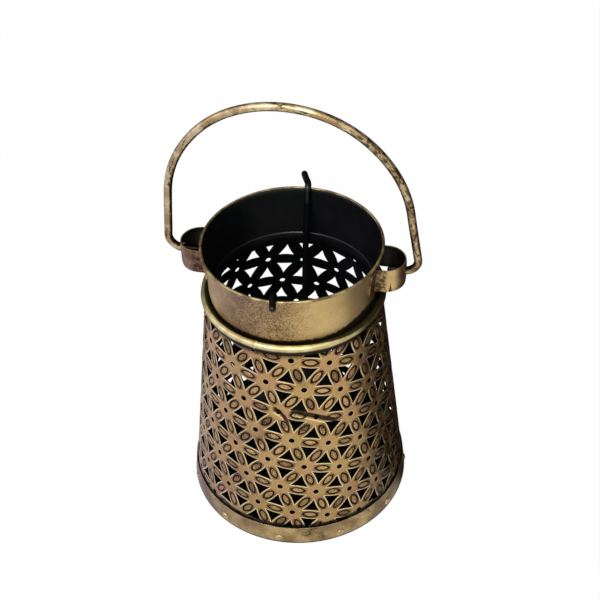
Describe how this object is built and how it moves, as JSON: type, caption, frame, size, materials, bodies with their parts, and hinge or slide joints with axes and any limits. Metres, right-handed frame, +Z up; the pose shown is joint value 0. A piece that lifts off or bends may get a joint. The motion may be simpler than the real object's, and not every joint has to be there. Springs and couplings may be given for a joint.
{
  "type": "lantern",
  "caption": "Hanging tealight lantern with a pierced, tapered sheet-metal body, a plain flared collar, a swinging wire bail and a lift-out cup on rim hooks.",
  "frame": {"origin": "centre of the foot, on the surface that the lantern stands on", "axes": "+Z up along the lantern's axis, +X through the ears and the bail's pivots, -Y towards the front hook"},
  "size_m": [0.1154, 0.1089, 0.2193],
  "materials": {
    "pierced_sheet": "antique gold paint rubbed over black, on embossed iron sheet",
    "band_sheet": "antique gold paint rubbed over black",
    "collar_sheet": "brown antique gold paint, speckled, satin",
    "bright_ring": "bright antique gold paint, satin",
    "bail_wire": "pale antique gold paint with black worn through",
    "black_metal": "satin black paint"
  },
  "bodies": {
    "root": {"front_panel": "pierced_sheet", "back_panel": "pierced_sheet", "base_band": "band_sheet", "base_plate": "black_metal", "solder_tacks": "band_sheet", "collar": "collar_sheet", "bead_ring": "bright_ring", "left_ear": "collar_sheet", "right_ear": "collar_sheet"},
    "bail": {"bail_handle": "bail_wire"},
    "hanger": {"front_hook": "black_metal", "back_hook": "black_metal", "candle_cup": "black_metal"}
  },
  "joints": [
    {"name": "bail_swing", "type": "hinge", "parent": "root", "child": "bail", "pos_m": [0, 0, 0.135], "axis": [1, 0, 0], "range_deg": [-148, 136]},
    {"name": "hanger_lift", "type": "slide", "parent": "root", "child": "hanger", "axis": [0, 0, 1], "range_m": [0, 0.1]}
  ]
}
